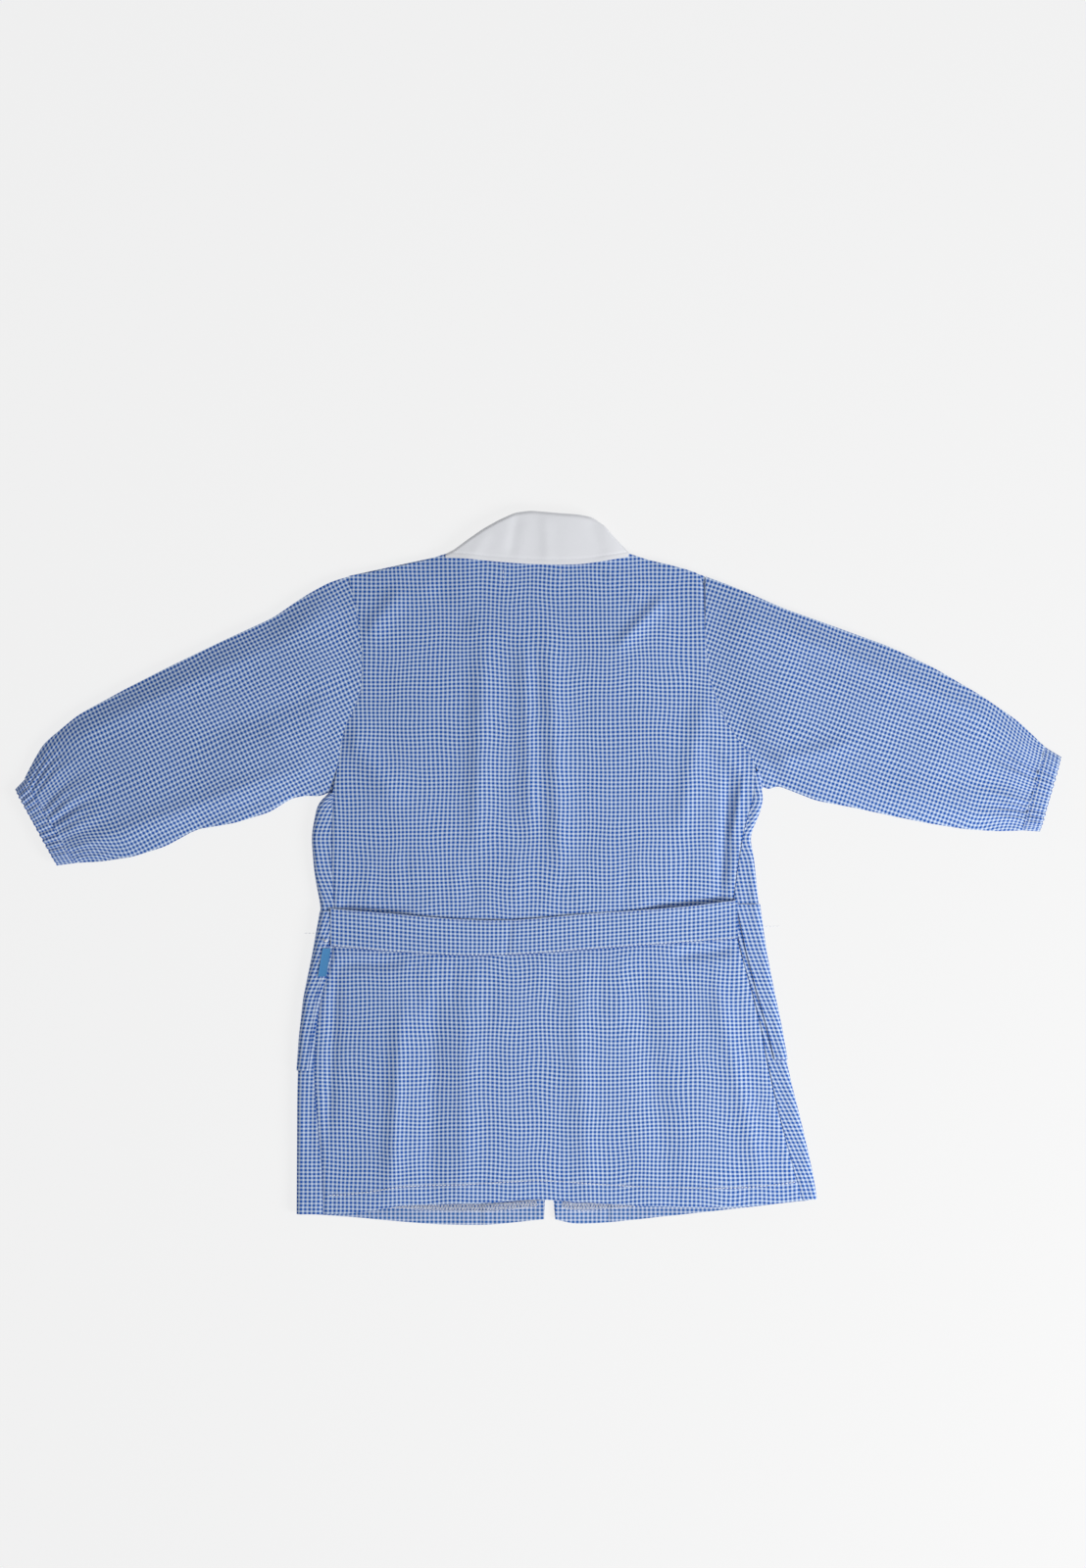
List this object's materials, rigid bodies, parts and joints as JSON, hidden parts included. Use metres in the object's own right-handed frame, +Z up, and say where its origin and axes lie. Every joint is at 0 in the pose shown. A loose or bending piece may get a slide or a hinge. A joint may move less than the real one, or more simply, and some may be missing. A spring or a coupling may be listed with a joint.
{
  "type": "child's school smock",
  "caption": "Small child's long-sleeved school smock in fine checked cotton, lying flat back side up, with a shirt collar, half-belt, patch pockets and a buttoned front.",
  "frame": {"origin": "middle of the whole smock's outline, on the surface that it lies on", "axes": "+Z up, out of the back panel; +Y towards the collar; +X towards the right-hand side as seen from the back"},
  "size_m": [0.929, 0.6352, 0.0152],
  "materials": {
    "gingham": "matt",
    "collar_cotton": "matt",
    "button": "satin",
    "elastic": "matt",
    "tab": "satin"
  },
  "bodies": {
    "garment": {"back_panel": "gingham", "front_left": "gingham", "front_right": "gingham", "facing_left": "gingham", "facing_right": "gingham", "back_belt": "gingham", "pocket_left": "gingham", "pocket_right": "gingham", "collar_leaf_left": "collar_cotton", "collar_leaf_right": "collar_cotton", "button_1": "button", "button_2": "button", "button_3": "button", "button_4": "button", "button_5": "button"},
    "left_sleeve": {"sleeve_left": "gingham", "cuff_left": "gingham", "elastic_left": "elastic"},
    "right_sleeve": {"sleeve_right": "gingham", "cuff_right": "gingham", "elastic_right": "elastic"},
    "back_collar": {"collar_stand": "collar_cotton", "collar_fall": "collar_cotton"},
    "tab": {"label_tab": "tab"}
  },
  "joints": [
    {"name": "left_sleeve_fold", "type": "hinge", "parent": "garment", "child": "left_sleeve", "pos_m": [-0.1575, 0.162, 0.014], "axis": [0, 1, 0], "range_deg": [0, 178]},
    {"name": "right_sleeve_fold", "type": "hinge", "parent": "garment", "child": "right_sleeve", "pos_m": [0.1488, 0.162, 0.027], "axis": [0, -1, 0], "range_deg": [0, 178]},
    {"name": "collar_lift", "type": "hinge", "parent": "garment", "child": "back_collar", "pos_m": [0, 0.2693, 0.0125], "axis": [1, 0, 0], "range_deg": [0, 90]},
    {"name": "tab_flip", "type": "hinge", "parent": "garment", "child": "tab", "pos_m": [-0.1857, -0.0832, 0.01175], "axis": [0.162, 0.9868, 0], "range_deg": [0, 160]}
  ]
}
